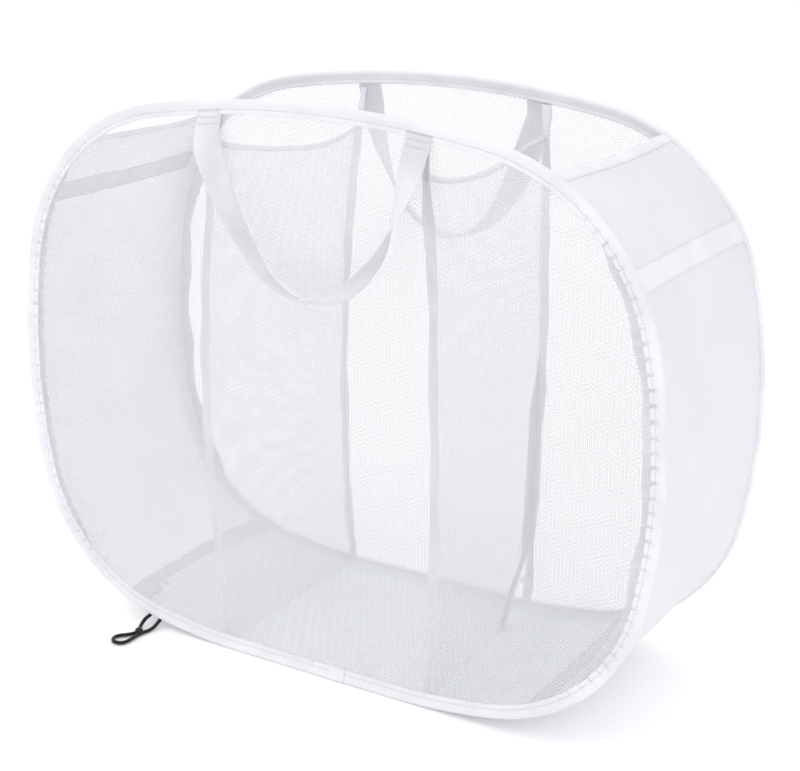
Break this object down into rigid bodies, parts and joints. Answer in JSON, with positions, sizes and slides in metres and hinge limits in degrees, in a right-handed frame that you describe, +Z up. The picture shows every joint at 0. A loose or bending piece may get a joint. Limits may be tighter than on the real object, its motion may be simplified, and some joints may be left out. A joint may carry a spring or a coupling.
{
  "type": "laundry hamper",
  "caption": "Free-standing pop-up mesh laundry hamper: rounded spring-steel hoops in sewn binding, mesh faces and dividers, fabric ends and floor, webbing carry handles.",
  "frame": {"origin": "on the ground under the middle of the hamper", "axes": "+X to the right along the width, +Y from the front mesh to the back mesh, +Z up"},
  "size_m": [0.72, 0.3298, 0.57],
  "materials": {
    "spring_steel": "satin",
    "ferrule_steel": "satin",
    "binding_tape": "matte",
    "mesh_net": "matte",
    "panel_cloth": "satin",
    "hem_cloth": "satin",
    "seam_tape": "matte",
    "webbing": "matte",
    "thread": "matte",
    "black_elastic": "matte"
  },
  "bodies": {
    "front_frame": {"front_hoop": "spring_steel", "front_hoop_ferrule": "ferrule_steel", "front_binding": "binding_tape", "front_binding_joint": "binding_tape", "front_mesh": "mesh_net", "front_left_seam_edge": "hem_cloth", "front_right_seam_edge": "hem_cloth", "left_end_panel": "panel_cloth", "right_end_panel": "panel_cloth", "floor_panel": "panel_cloth", "left_top_hem": "hem_cloth", "right_top_hem": "hem_cloth", "left_upper_band": "hem_cloth", "right_upper_band": "hem_cloth", "left_lower_band": "hem_cloth", "right_lower_band": "hem_cloth", "left_divider": "mesh_net", "right_divider": "mesh_net", "left_divider_hem": "hem_cloth", "right_divider_hem": "hem_cloth", "left_divider_front_tape": "seam_tape", "right_divider_front_tape": "seam_tape", "fold_cord": "black_elastic", "fold_cord_knot": "black_elastic"},
    "back_frame": {"back_hoop": "spring_steel", "back_hoop_ferrule": "ferrule_steel", "back_binding": "binding_tape", "back_binding_joint": "binding_tape", "back_mesh": "mesh_net", "back_left_seam_edge": "hem_cloth", "back_right_seam_edge": "hem_cloth", "left_divider_back_tape": "seam_tape", "right_divider_back_tape": "seam_tape", "right_divider_corner_stay": "seam_tape"},
    "front_handle_loop": {"front_handle": "webbing", "front_handle_stitching": "thread"},
    "back_handle_loop": {"back_handle": "webbing", "back_handle_stitching": "thread"}
  },
  "joints": [
    {"name": "fold_flat", "type": "slide", "parent": "front_frame", "child": "back_frame", "axis": [0, -1, 0], "range_m": [0, 0.211], "stiffness_N_per_m": 25, "springref_m": -0.08, "deforming": ["left_end_panel", "right_end_panel", "floor_panel", "left_top_hem", "right_top_hem", "left_upper_band", "right_upper_band", "left_lower_band", "right_lower_band", "left_divider", "right_divider", "left_divider_hem", "right_divider_hem"]},
    {"name": "front_handle_swing", "type": "hinge", "parent": "front_frame", "child": "front_handle_loop", "pos_m": [0.002, -0.1248, 0.54975], "axis": [-1, 0, 0], "range_deg": [0, 175]},
    {"name": "back_handle_swing", "type": "hinge", "parent": "back_frame", "child": "back_handle_loop", "pos_m": [0.0115, 0.1248, 0.55038], "axis": [1, 0, 0], "range_deg": [0, 175]}
  ]
}
